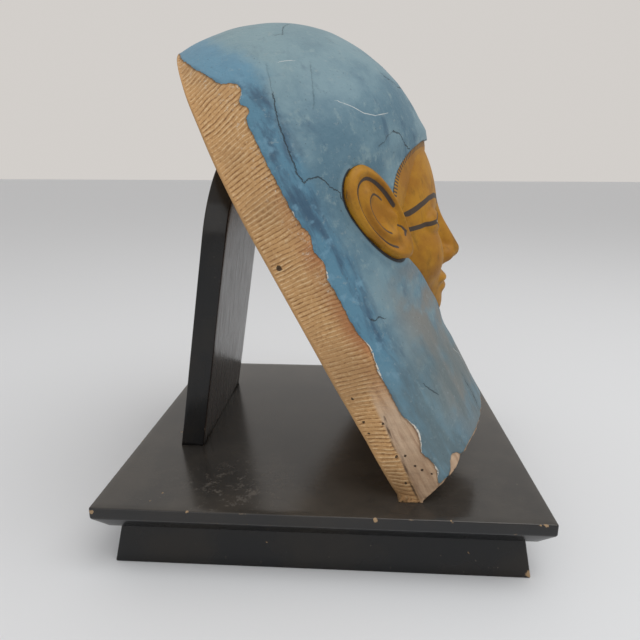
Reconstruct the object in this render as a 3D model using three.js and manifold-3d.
// Carved and painted wooden coffin mask, leaning back on its own black display stand.
// Millimetres, +Z up, the face looks along -Y, the origin is the centre of the plinth's underside.
import * as THREE from 'three';
import { mergeVertices } from 'three/addons/utils/BufferGeometryUtils.js';
import Module from 'manifold-3d';

const wasm = await Module();
wasm.setup();

// Driving dimensions of the stand
const contactGap = 0.3;
const boardSide = 340;
const boardEdge = 9;
const boardBevelInset = 10;
const boardBevelDrop = 12;
const plinthTopSide = 306;
const plinthFootSide = 317;
const plinthHeight = 32;
const edgeChamfer = 1.2;
const propWidth = 166;
const propThickness = 20;
const propLength = 261;
const propCornerRadius = 70;
const propLean = THREE.MathUtils.degToRad(8.3);
const propOffset = 17;
const propFootBack = 131;

// Driving dimensions of the mask
const maskLean = THREE.MathUtils.degToRad(61.5);
const maskHeelFront = 59.2;
const blockHalfWidth = 148;
const crownRise = 165;
const crownDepth = 154;
const crownFullness = 2.25;
const faceFullness = 1.5;
const lappetFullness = 2.1;
const crownBlend = 70;
const templeShare = 0.8;
const jawShare = 0.86;
const sawnWall = 33;
const lappetDepth = 95;
const lappetFoot = 14;
const footCornerRise = 12;
const footFrontRise = 15;
const wigEdgeStep = 2.5;
const faceHeight = 156;
const faceBow = THREE.MathUtils.degToRad(21.5);
const openingHalf = 1.8;
const openingWaist = 1.5;
const openingFoot = 0.62;
const openingFlare = 1.35;
const openingDrop = 2;
const archRise = 4;
const archPower = 0.72;
const chinAlong = 75;
const chinOut = 92;
const neckOut = 64;
const neckHalfWidth = 42;
const recessHalfWidth = 34;
const recessFloor = 50;
const earLength = 81.5;
const earWaist = 0.255;
const earTaper = 0.08;
const earMiddle = 0.015;
const earAcross = 107;
const earAboveChin = 118.5;
const earTurn = THREE.MathUtils.degToRad(42);
const earTilt = THREE.MathUtils.degToRad(14);
const earRoll = THREE.MathUtils.degToRad(28);

const boardThickness = boardEdge + boardBevelDrop;
const boardTop = plinthHeight + contactGap + boardThickness;
const faceThird = faceHeight / 3;
const hairline = chinAlong + faceHeight * Math.cos(faceBow);
const brow = chinAlong + 2 * faceThird * Math.cos(faceBow);
const apex = hairline + crownRise;
const earAlong = chinAlong + earAboveChin;

// Between three.js geometry and solids

function toSolid(geometry) {
  geometry.deleteAttribute('normal');
  geometry.deleteAttribute('uv');
  const merged = mergeVertices(geometry, 1e-3);
  return new wasm.Manifold(new wasm.Mesh({
    numProp: 3,
    vertProperties: new Float32Array(merged.attributes.position.array),
    triVerts: new Uint32Array(merged.index.array),
  }));
}

function solidOf(points, faces) {
  return new wasm.Manifold(new wasm.Mesh({
    numProp: 3,
    vertProperties: new Float32Array(points.flat()),
    triVerts: new Uint32Array(faces),
  }));
}

function toGeometry(solid) {
  const mesh = solid.getMesh();
  const geometry = new THREE.BufferGeometry();
  geometry.setAttribute('position', new THREE.BufferAttribute(new Float32Array(mesh.vertProperties), 3));
  geometry.setIndex(new THREE.BufferAttribute(new Uint32Array(mesh.triVerts), 1));
  return geometry;
}

const farSize = 2000;

// Soft joins and cuts of signed distances

function join(a, b, softness) {
  const overlap = Math.max(softness - Math.abs(a - b), 0) / softness;
  return Math.min(a, b) - (overlap * overlap * softness) / 4;
}

function cut(a, b, softness) {
  return -join(-a, b, softness);
}

function ellipsoid(x, y, z, centre, radii) {
  const [px, py, pz] = [x - centre[0], y - centre[1], z - centre[2]];
  const [qx, qy, qz] = [px / radii[0], py / radii[1], pz / radii[2]];
  const reach = Math.sqrt(qx * qx + qy * qy + qz * qz);
  const slope = Math.sqrt((qx / radii[0]) ** 2 + (qy / radii[1]) ** 2 + (qz / radii[2]) ** 2);
  return (reach * (reach - 1)) / Math.max(slope, 1e-6);
}

function taperedRod(x, y, z, from, to, fromRadius, toRadius) {
  const axis = [to[0] - from[0], to[1] - from[1], to[2] - from[2]];
  const length2 = axis[0] ** 2 + axis[1] ** 2 + axis[2] ** 2;
  const dot = (x - from[0]) * axis[0] + (y - from[1]) * axis[1] + (z - from[2]) * axis[2];
  const share = THREE.MathUtils.clamp(dot / length2, 0, 1);
  const off = [x - from[0] - share * axis[0], y - from[1] - share * axis[1], z - from[2] - share * axis[2]];
  return Math.sqrt(off[0] ** 2 + off[1] ** 2 + off[2] ** 2) - THREE.MathUtils.lerp(fromRadius, toRadius, share);
}

function gradient(field, x, y, z) {
  const reach = 0.2;
  return [
    (field(x + reach, y, z) - field(x - reach, y, z)) / (2 * reach),
    (field(x, y + reach, z) - field(x, y - reach, z)) / (2 * reach),
    (field(x, y, z + reach) - field(x, y, z - reach)) / (2 * reach),
  ];
}

function drawOntoSurface(field, corner, limit) {
  let [x, y, z] = corner;
  for (let step = 0; step < 4; step += 1) {
    const slope = gradient(field, x, y, z);
    const steep = Math.max(slope[0] ** 2 + slope[1] ** 2 + slope[2] ** 2, 0.05);
    const move = field(x, y, z) / steep;
    x = THREE.MathUtils.clamp(x - move * slope[0], corner[0] - limit, corner[0] + limit);
    y = THREE.MathUtils.clamp(y - move * slope[1], corner[1] - limit, corner[1] + limit);
    z = THREE.MathUtils.clamp(z - move * slope[2], corner[2] - limit, corner[2] + limit);
  }
  return [x, y, z];
}

const cellCorners = [0, 1, 2, 3, 4, 5, 6, 7].map((bit) => [bit & 1, (bit >> 1) & 1, bit >> 2]);
const cellEdges = [];
for (let bit = 0; bit < 8; bit += 1) {
  for (const step of [1, 2, 4]) {
    if (!(bit & step)) {
      cellEdges.push([bit, bit | step]);
    }
  }
}

// Whether the corners that a cell's pattern marks hang together along the cell's edges
function hangsTogether(pattern) {
  let reached = pattern & -pattern;
  for (let pass = 0; pass < 4; pass += 1) {
    for (const [from, to] of cellEdges) {
      const both = (1 << from) | (1 << to);
      if ((pattern & both) === both && reached & both) {
        reached |= both;
      }
    }
  }
  return reached === pattern;
}

const pinched = Array.from({ length: 256 }, (_, p) => !hangsTogether(p) || !hangsTogether(255 - p));

function surfaceNet(field, xs, ys, zs) {
  const [nx, ny, nz] = [xs.length, ys.length, zs.length];
  const at = (i, j, k) => (i * ny + j) * nz + k;
  const offsets = cellCorners.map(([i, j, k]) => at(i, j, k));
  const values = new Float64Array(nx * ny * nz);
  for (let i = 0; i < nx; i += 1) {
    for (let j = 0; j < ny; j += 1) {
      for (let k = 0; k < nz; k += 1) {
        values[at(i, j, k)] = field(xs[i], ys[j], zs[k]);
      }
    }
  }
  const patternAt = (base) => offsets.reduce((sum, offset, bit) => sum | (values[base + offset] < 0) << bit, 0);
  const cells = [];
  for (let i = 0; i < nx - 1; i += 1) {
    for (let j = 0; j < ny - 1; j += 1) {
      for (let k = 0; k < nz - 1; k += 1) {
        cells.push([i, j, k]);
      }
    }
  }

  // Where the form only touches itself at a corner, the emptiest near corner is filled.
  let filled = true;
  while (filled) {
    filled = false;
    for (const [i, j, k] of cells) {
      const base = at(i, j, k);
      if (pinched[patternAt(base)]) {
        const empty = offsets.map((offset) => base + offset).filter((index) => values[index] >= 0);
        empty.sort((a, b) => values[a] - values[b]);
        values[empty[0]] = -1e-3;
        filled = true;
      }
    }
  }

  const corners = [];
  const cornerOf = new Int32Array(nx * ny * nz).fill(-1);
  for (const [i, j, k] of cells) {
    const base = at(i, j, k);
    const pattern = patternAt(base);
    if (pattern === 0 || pattern === 255) {
      continue;
    }
    const sum = [0, 0, 0];
    let hits = 0;
    for (const [from, to] of cellEdges) {
      const [va, vb] = [values[base + offsets[from]], values[base + offsets[to]]];
      if (va < 0 !== vb < 0) {
        const [a, b] = [cellCorners[from], cellCorners[to]];
        const share = va / (va - vb);
        sum[0] += THREE.MathUtils.lerp(xs[i + a[0]], xs[i + b[0]], share);
        sum[1] += THREE.MathUtils.lerp(ys[j + a[1]], ys[j + b[1]], share);
        sum[2] += THREE.MathUtils.lerp(zs[k + a[2]], zs[k + b[2]], share);
        hits += 1;
      }
    }
    const cell = Math.min(xs[i + 1] - xs[i], ys[j + 1] - ys[j], zs[k + 1] - zs[k]);
    cornerOf[base] = corners.length;
    corners.push(drawOntoSurface(field, sum.map((value) => value / hits), cell * 0.4));
  }
  const triangles = [];
  const addQuad = (quad, inside) => {
    const [a, b, c, d] = inside ? quad : [quad[3], quad[2], quad[1], quad[0]];
    triangles.push(a, b, c, a, c, d);
  };
  for (let i = 1; i < nx - 1; i += 1) {
    for (let j = 1; j < ny - 1; j += 1) {
      for (let k = 1; k < nz - 1; k += 1) {
        const inside = values[at(i, j, k)] < 0;
        const cell = (di, dj, dk) => cornerOf[at(i - di, j - dj, k - dk)];
        if (inside !== values[at(i + 1, j, k)] < 0) {
          addQuad([cell(0, 1, 1), cell(0, 0, 1), cell(0, 0, 0), cell(0, 1, 0)], inside);
        }
        if (inside !== values[at(i, j + 1, k)] < 0) {
          addQuad([cell(1, 0, 1), cell(1, 0, 0), cell(0, 0, 0), cell(0, 0, 1)], inside);
        }
        if (inside !== values[at(i, j, k + 1)] < 0) {
          addQuad([cell(1, 1, 0), cell(0, 1, 0), cell(0, 0, 0), cell(1, 0, 0)], inside);
        }
      }
    }
  }
  return solidOf(corners, triangles);
}

// The block's cross sections. The mask's own frame has x across, y up along the flat back
// and z out from the back.

function wigSection(y) {
  const covered = THREE.MathUtils.smoothstep(y, chinAlong - lappetFoot, chinAlong + faceThird / 2);
  const faceLine = chinOut + (y - chinAlong) * Math.tan(faceBow);
  const atFace = THREE.MathUtils.smoothstep(y, chinAlong, brow - faceThird);
  const atCrown = THREE.MathUtils.smoothstep(y, hairline - crownBlend / 7, hairline + (6 * crownBlend) / 7);
  const belowCrown = THREE.MathUtils.lerp(lappetFullness, faceFullness, atFace);
  return {
    height: THREE.MathUtils.lerp(lappetDepth, Math.min(faceLine, crownDepth), covered),
    fullness: THREE.MathUtils.lerp(belowCrown, crownFullness, atCrown),
  };
}

// The skin beside the face lies lower than the wig, and meets its edge at the hairline.
function skinSection(y) {
  const { height, fullness } = wigSection(y);
  const nearTemple = THREE.MathUtils.smoothstep(y, brow - 1.5 * faceThird, brow);
  const nearHairline = THREE.MathUtils.smoothstep(y, brow, hairline);
  const low = THREE.MathUtils.lerp(jawShare, templeShare, nearTemple);
  return {
    height: height * THREE.MathUtils.lerp(low, 1, nearHairline) - wigEdgeStep,
    fullness: THREE.MathUtils.lerp(crownFullness, fullness, nearHairline),
  };
}

function surfaceOut(x, y, { height, fullness }) {
  const wallShare = Math.pow(1 - Math.pow(sawnWall / height, fullness), 1 / fullness);
  const up = Math.max(y - hairline, 0) / crownRise;
  const across = Math.hypot((x * wallShare) / blockHalfWidth, up);
  return height * Math.pow(Math.max(1 - Math.pow(across, fullness), 0), 1 / fullness);
}

function sawnHalfWidth(y, { height, fullness }) {
  const wall = sawnWall * (1 - THREE.MathUtils.smoothstep(y, hairline + crownRise / 2, apex));
  const wallShare = Math.pow(1 - Math.pow(sawnWall / height, fullness), 1 / fullness);
  const acrossWall = Math.pow(1 - Math.pow(wall / height, fullness), 1 / fullness);
  const up = Math.max(y - hairline, 0) / crownRise;
  return (blockHalfWidth / wallShare) * Math.sqrt(Math.max(acrossWall ** 2 - up ** 2, 0));
}

function footLine(x, z) {
  const cornerRise = footCornerRise * Math.pow(Math.abs(x) / blockHalfWidth, 5) * Math.min(z / sawnWall, 1);
  const frontRise = footFrontRise * THREE.MathUtils.smoothstep(z, 0.3 * lappetDepth, 0.78 * lappetDepth);
  return -lappetFoot + cornerRise + frontRise;
}

// A block built of cross sections from the foot to the apex, each a row of points from one
// side of the back over the front to the other side

function blockOfSections(sectionAt) {
  const bodyRows = 26;
  const crownRows = 18;
  const columns = 34;
  const rows = [];
  const addRow = (y) => {
    const section = sectionAt(y);
    const side = sawnHalfWidth(y, section);
    const row = [[-side, y, 0]];
    for (let i = 0; i <= columns; i += 1) {
      const x = side * Math.sin((Math.PI / 2) * ((2 * i) / columns - 1));
      row.push([x, y, surfaceOut(x, y, section)]);
    }
    row.push([side, y, 0]);
    rows.push(row);
  };
  const aboveFoot = footCornerRise + footFrontRise - lappetFoot + 2;
  addRow(-lappetFoot);
  rows[0] = rows[0].map(([x, y, z]) => [x, footLine(x, z), z]);
  for (let i = 0; i < bodyRows; i += 1) {
    addRow(THREE.MathUtils.lerp(aboveFoot, hairline, i / (bodyRows - 1)));
  }
  for (let i = 1; i < crownRows; i += 1) {
    addRow(hairline + crownRise * Math.sin((Math.PI / 2) * (i / crownRows)));
  }
  const points = rows.flat();
  const width = columns + 3;
  const faces = [];
  const addQuad = (a, b, c, d) => faces.push(a, b, c, a, c, d);
  for (let j = 0; j < rows.length - 1; j += 1) {
    for (let i = 0; i < width - 1; i += 1) {
      addQuad(j * width + i, j * width + i + 1, (j + 1) * width + i + 1, (j + 1) * width + i);
    }
    addQuad(j * width + width - 1, j * width, (j + 1) * width, (j + 1) * width + width - 1);
  }
  const lastRow = (rows.length - 1) * width;
  const footMiddle = points.push([0, -lappetFoot, lappetDepth / 2]) - 1;
  const apexPoint = points.push([0, apex, 0]) - 1;
  for (let i = 0; i < width; i += 1) {
    const next = (i + 1) % width;
    faces.push(next, i, footMiddle);
    faces.push(lastRow + i, lastRow + next, apexPoint);
  }
  return solidOf(points, faces);
}

// The face's own frame is tilted on the block: a runs up from the chin and b forward.

function toFaceFrame(geometry) {
  geometry.rotateX(faceBow);
  geometry.translate(0, chinAlong, chinOut);
  return geometry;
}

// The opening of the wig round the face, cut forward out of the block

function openingSolid(grow) {
  const foot = openingFoot * faceThird + grow;
  const half = openingHalf * faceThird + grow;
  const bottom = -openingDrop - grow;
  const waist = openingWaist * faceThird;
  const jaw = [];
  const jawSteps = 9;
  for (let i = 0; i < jawSteps; i += 1) {
    const rise = i / jawSteps;
    const across = foot + (half - foot) * Math.pow(rise, openingFlare);
    jaw.push([across, THREE.MathUtils.lerp(bottom, waist, rise)]);
  }
  const arch = [];
  const archSteps = 22;
  for (let i = 0; i <= archSteps; i += 1) {
    const angle = (Math.PI * i) / archSteps;
    const across = Math.sign(Math.cos(angle)) * Math.pow(Math.abs(Math.cos(angle)), archPower);
    const up = Math.pow(Math.sin(angle), archPower);
    arch.push([half * across, waist + (faceHeight + archRise - waist + grow) * up]);
  }
  const otherJaw = jaw.map(([across, up]) => [-across, up]).reverse();
  const outline = new THREE.Shape([...jaw, ...arch, ...otherJaw].map(([x, y]) => new THREE.Vector2(x, y)));
  const behind = openingWaist * faceThird + 8 * grow;
  const geometry = new THREE.ExtrudeGeometry(outline, { depth: behind + faceThird, bevelEnabled: false });
  geometry.translate(0, 0, -behind);
  return toSolid(toFaceFrame(geometry));
}

// The face, in thirds of its height: x across, a up from the chin, b forward

function nose(x, a, b) {
  const bridge = taperedRod(x, a, b, [0, 2.02, -0.06], [0, 1.2, 0.27], 0.1, 0.155);
  const wings = ellipsoid(Math.abs(x), a, b, [0.17, 1.12, 0.12], [0.14, 0.13, 0.17]);
  return join(bridge, wings, 0.12);
}

function mouth(x, a, b) {
  const upperLip = ellipsoid(Math.abs(x), a, b, [0.13, 0.745, -0.01], [0.33, 0.1, 0.16]);
  const lowerLip = ellipsoid(x, a, b, [0, 0.58, -0.02], [0.34, 0.11, 0.16]);
  const parting = ellipsoid(x, a, b, [0, 0.668, 0.12], [0.44, 0.018, 0.12]);
  return cut(join(upperLip, lowerLip, 0.03), parting, 0.03);
}

function eye(x, a, b) {
  const [px, centre] = [Math.abs(x) - 0.54, [0, 1.76, -0.19]];
  const ball = ellipsoid(px, a, b, centre, [0.36, 0.24, 0.2]);
  const lid = ellipsoid(px, a, b, centre, [0.4, 0.28, 0.235]);
  const upperArc = Math.hypot(px, a - 1.76 + 0.27) - 0.4;
  const lowerArc = Math.hypot(px, a - 1.76 - 0.34) - 0.43;
  const almond = Math.max(upperArc, lowerArc);
  return Math.min(cut(lid, almond, 0.02), ball);
}

function face(across, up, forward) {
  const [u, a, b] = [across / faceThird, up / faceThird, forward / faceThird];
  const side = Math.abs(u);
  let form = ellipsoid(u, a, b, [0, 1.6, -0.98], [1.3, 1.62, 1.03]);
  form = join(form, ellipsoid(u, a, b, [0, 2.36, -0.9], [1.22, 1.25, 0.93]), 0.3);
  form = join(form, ellipsoid(u, a, b, [0, 1.05, -0.86], [1.02, 1.08, 0.85]), 0.3);
  form = join(form, ellipsoid(u, a, b, [0, 0.29, -0.33], [0.44, 0.31, 0.37]), 0.3);
  form = join(form, ellipsoid(side, a, b, [0.62, 1.22, -0.34], [0.36, 0.4, 0.36]), 0.3);
  form = join(form, ellipsoid(u, a, b, [0, 0.68, -0.22], [0.5, 0.3, 0.24]), 0.25);
  form = cut(form, ellipsoid(side, a, b, [0.5, 1.79, 0.2], [0.42, 0.22, 0.23]), 0.16);
  form = join(form, eye(u, a, b), 0.03);
  form = join(form, nose(u, a, b), 0.14);
  form = join(form, mouth(u, a, b), 0.07);
  return form * faceThird;
}

// An ear, in shares of its length: p up, q towards the face, r out from the wig. Its points
// run in rings from the middle to its edge and then down into the wig.

function earHeight(ring, p, q) {
  const inward = 1 - ring;
  const lobe = THREE.MathUtils.smoothstep(-p, 0.24, 0.42);
  const rim = THREE.MathUtils.smoothstep(inward, 0.13, 0.28);
  const ridge = Math.exp(-(((inward - 0.52) / 0.12) ** 2)) * THREE.MathUtils.smoothstep(0.1 - q, 0, 0.1);
  const bowl = Math.exp(-(((p + 0.03) / 0.14) ** 2) - ((q - 0.03) / 0.07) ** 2);
  const tragus = Math.exp(-(((p + 0.12) / 0.07) ** 2) - ((q - 0.15) / 0.06) ** 2);
  const round = 0.03 * (1 - THREE.MathUtils.smoothstep(inward, 0, 0.1));
  const front = THREE.MathUtils.smoothstep(q, 0.03, 0.22);
  const relief = 0.03 * tragus - (0.05 * rim - 0.035 * ridge) * (1 - lobe) - 0.035 * bowl;
  return 0.1 - round - 0.045 * front + relief;
}

function earSolid(side) {
  const rings = 9;
  const spokes = 30;
  const root = -0.22;
  const earOut = surfaceOut(earAcross, earAlong, wigSection(earAlong));
  const upward = new THREE.Vector3(0, Math.cos(earTilt), Math.sin(earTilt));
  const forward = new THREE.Vector3(-Math.sin(earTurn), 0, Math.cos(earTurn));
  forward.addScaledVector(upward, -forward.dot(upward)).normalize();
  const outward = new THREE.Vector3().crossVectors(upward, forward);
  upward.applyAxisAngle(outward, -earRoll);
  forward.applyAxisAngle(outward, -earRoll);
  const place = (p, q, r) => {
    const point = new THREE.Vector3(earAcross, earAlong, earOut);
    point.addScaledVector(upward, earLength * p);
    point.addScaledVector(forward, earLength * q);
    point.addScaledVector(outward, earLength * r);
    return [side * point.x, point.y, point.z];
  };
  const points = [place(0, earMiddle, earHeight(0, 0, earMiddle))];
  for (let ring = 1; ring <= rings + 1; ring += 1) {
    const share = Math.min(ring / rings, 1);
    for (let spoke = 0; spoke < spokes; spoke += 1) {
      const angle = (2 * Math.PI * spoke) / spokes;
      const p = 0.5 * share * Math.sin(angle);
      const q = earMiddle + (earWaist + earTaper * p) * share * Math.cos(angle);
      points.push(place(p, q, ring > rings ? root : earHeight(share, p, q)));
    }
  }
  points.push(place(0, earMiddle, root));
  const faces = [];
  const addTriangle = (a, b, c) => faces.push(...(side > 0 ? [a, b, c] : [c, b, a]));
  for (let spoke = 0; spoke < spokes; spoke += 1) {
    const next = (spoke + 1) % spokes;
    addTriangle(0, 1 + next, 1 + spoke);
    for (let ring = 0; ring < rings; ring += 1) {
      const [inner, outer] = [1 + ring * spokes, 1 + (ring + 1) * spokes];
      addTriangle(inner + spoke, inner + next, outer + next);
      addTriangle(inner + spoke, outer + next, outer + spoke);
    }
    const last = 1 + rings * spokes;
    addTriangle(last + spoke, last + next, points.length - 1);
  }
  return solidOf(points, faces);
}

// The face, as a net of quads over its rounded forms

function faceSolid() {
  const cell = faceThird / 11;
  const back = -1.15 * faceThird;
  const axis = (from, to) => {
    const count = Math.ceil((to - from) / cell);
    return Array.from({ length: count + 1 }, (_, i) => from + cell * i);
  };
  const xs = axis(-1.6 * faceThird, 1.6 * faceThird);
  const as = axis(-0.3 * faceThird, 3.5 * faceThird);
  const bs = axis(back - 2 * cell, 0.8 * faceThird);
  const closed = (x, a, b) => Math.max(face(x, a, b), back - b, a - 3.2 * faceThird);
  const solid = surfaceNet(closed, xs, as, bs);
  return toSolid(toFaceFrame(toGeometry(solid)));
}

// The hollow between the lappets, with rounded lappet edges, and the neck in it

function recessSolid() {
  const edgeRound = 9;
  const lip = lappetDepth - edgeRound;
  const outline = new THREE.Shape();
  outline.moveTo(-recessHalfWidth, recessFloor);
  outline.lineTo(recessHalfWidth, recessFloor);
  outline.absarc(recessHalfWidth + edgeRound, lip, edgeRound, Math.PI, Math.PI / 2, true);
  outline.lineTo(recessHalfWidth + edgeRound, lappetDepth + faceThird);
  outline.lineTo(-recessHalfWidth - edgeRound, lappetDepth + faceThird);
  outline.absarc(-recessHalfWidth - edgeRound, lip, edgeRound, Math.PI / 2, 0, true);
  outline.closePath();
  const above = chinAlong + 0.5 * faceThird;
  const depth = above + 3 * lappetFoot;
  const geometry = new THREE.ExtrudeGeometry(outline, { depth, curveSegments: 5, bevelEnabled: false });
  geometry.rotateX(Math.PI / 2);
  geometry.translate(0, above, 0);
  return toSolid(geometry);
}

function neckSolid() {
  const foot = footFrontRise / 2 - lappetFoot;
  const top = brow;
  const geometry = new THREE.CylinderGeometry(neckHalfWidth, neckHalfWidth, top - foot, 40);
  geometry.translate(0, (top + foot) / 2, neckOut - neckHalfWidth);
  return toSolid(geometry);
}

// A block that fills all space below a line of the y-z plane: the line passes through the point
// and the block lies on the side that the direction points to.
function halfSpace(pointY, pointZ, directionY, directionZ) {
  const geometry = new THREE.BoxGeometry(farSize, farSize, farSize);
  geometry.translate(0, 0, farSize / 2);
  geometry.rotateX(Math.atan2(-directionY, directionZ));
  geometry.translate(0, pointY, pointZ);
  return toSolid(geometry);
}

// A square block turned from a profile of half widths and heights

function squareBlock(profile) {
  const cornerShare = Math.SQRT2;
  const points = profile.map(([half, height]) => new THREE.Vector2(half * cornerShare, height));
  const geometry = new THREE.LatheGeometry(points, 4, Math.PI / 4);
  geometry.rotateX(Math.PI / 2);
  return toGeometry(toSolid(geometry));
}

function plinthGeometry() {
  return squareBlock([
    [0, 0],
    [plinthFootSide / 2 - edgeChamfer, 0],
    [plinthFootSide / 2, edgeChamfer],
    [plinthTopSide / 2, plinthHeight],
    [0, plinthHeight],
  ]);
}

function baseBoardGeometry() {
  const underside = plinthHeight + contactGap;
  return squareBlock([
    [0, underside],
    [boardSide / 2 - boardBevelInset, underside],
    [boardSide / 2, underside + boardBevelDrop],
    [boardSide / 2, boardTop - edgeChamfer],
    [boardSide / 2 - edgeChamfer, boardTop],
    [0, boardTop],
  ]);
}

// The leaning prop: a board with two rounded top corners, cut level at its foot
// and bevelled at its top to lie against the mask's back.

function propGeometry() {
  const half = propWidth / 2;
  const shoulder = propLength - propCornerRadius;
  const outline = new THREE.Shape();
  outline.moveTo(-half, -propThickness);
  outline.lineTo(half, -propThickness);
  outline.lineTo(half, shoulder);
  outline.absarc(half - propCornerRadius, shoulder, propCornerRadius, 0, Math.PI / 2);
  outline.absarc(-half + propCornerRadius, shoulder, propCornerRadius, Math.PI / 2, Math.PI);
  outline.closePath();
  const geometry = new THREE.ExtrudeGeometry(outline, {
    depth: propThickness,
    curveSegments: 14,
    bevelEnabled: false,
  });
  geometry.rotateX(Math.PI / 2 + propLean);
  geometry.translate(propOffset, propFootBack, boardTop);
  const foot = halfSpace(0, boardTop + contactGap, 0, -1);
  const backGap = contactGap / Math.sin(maskLean);
  const maskSide = halfSpace(-maskHeelFront + backGap, boardTop, -Math.sin(maskLean), Math.cos(maskLean));
  return toGeometry(toSolid(geometry).subtract(foot).subtract(maskSide));
}

// The mask: the block with the wig opened round the face and between the lappets, the carved
// face, ears and neck on it, flat at its back and trimmed where its heel meets the board

function maskGeometry() {
  const skin = blockOfSections(skinSection).intersect(openingSolid(1));
  const heel = halfSpace(
    contactGap * Math.sin(maskLean),
    contactGap * Math.cos(maskLean),
    -Math.sin(maskLean),
    -Math.cos(maskLean),
  );
  const behindBack = halfSpace(0, 0, 0, -1);
  const carved = blockOfSections(wigSection)
    .subtract(openingSolid(0))
    .subtract(recessSolid())
    .add(skin)
    .add(neckSolid())
    .add(faceSolid())
    .add(earSolid(1))
    .add(earSolid(-1));
  return toGeometry(carved.subtract(behindBack).subtract(heel));
}

const paintedWood = () => new THREE.MeshStandardMaterial({ color: 0x55748a, roughness: 0.6 });
const blackWood = () => new THREE.MeshStandardMaterial({ color: 0x151515, roughness: 0.4 });

const model = new THREE.Group();

const plinth = new THREE.Mesh(plinthGeometry(), blackWood());
plinth.name = 'plinth';
model.add(plinth);

const baseBoard = new THREE.Mesh(baseBoardGeometry(), blackWood());
baseBoard.name = 'base_board';
model.add(baseBoard);

const propBoard = new THREE.Mesh(propGeometry(), blackWood());
propBoard.name = 'prop_board';
model.add(propBoard);

const mask = new THREE.Mesh(maskGeometry(), paintedWood());
mask.name = 'mask';
mask.rotation.x = maskLean;
mask.position.set(0, -maskHeelFront, boardTop);
model.add(mask);

export default model;
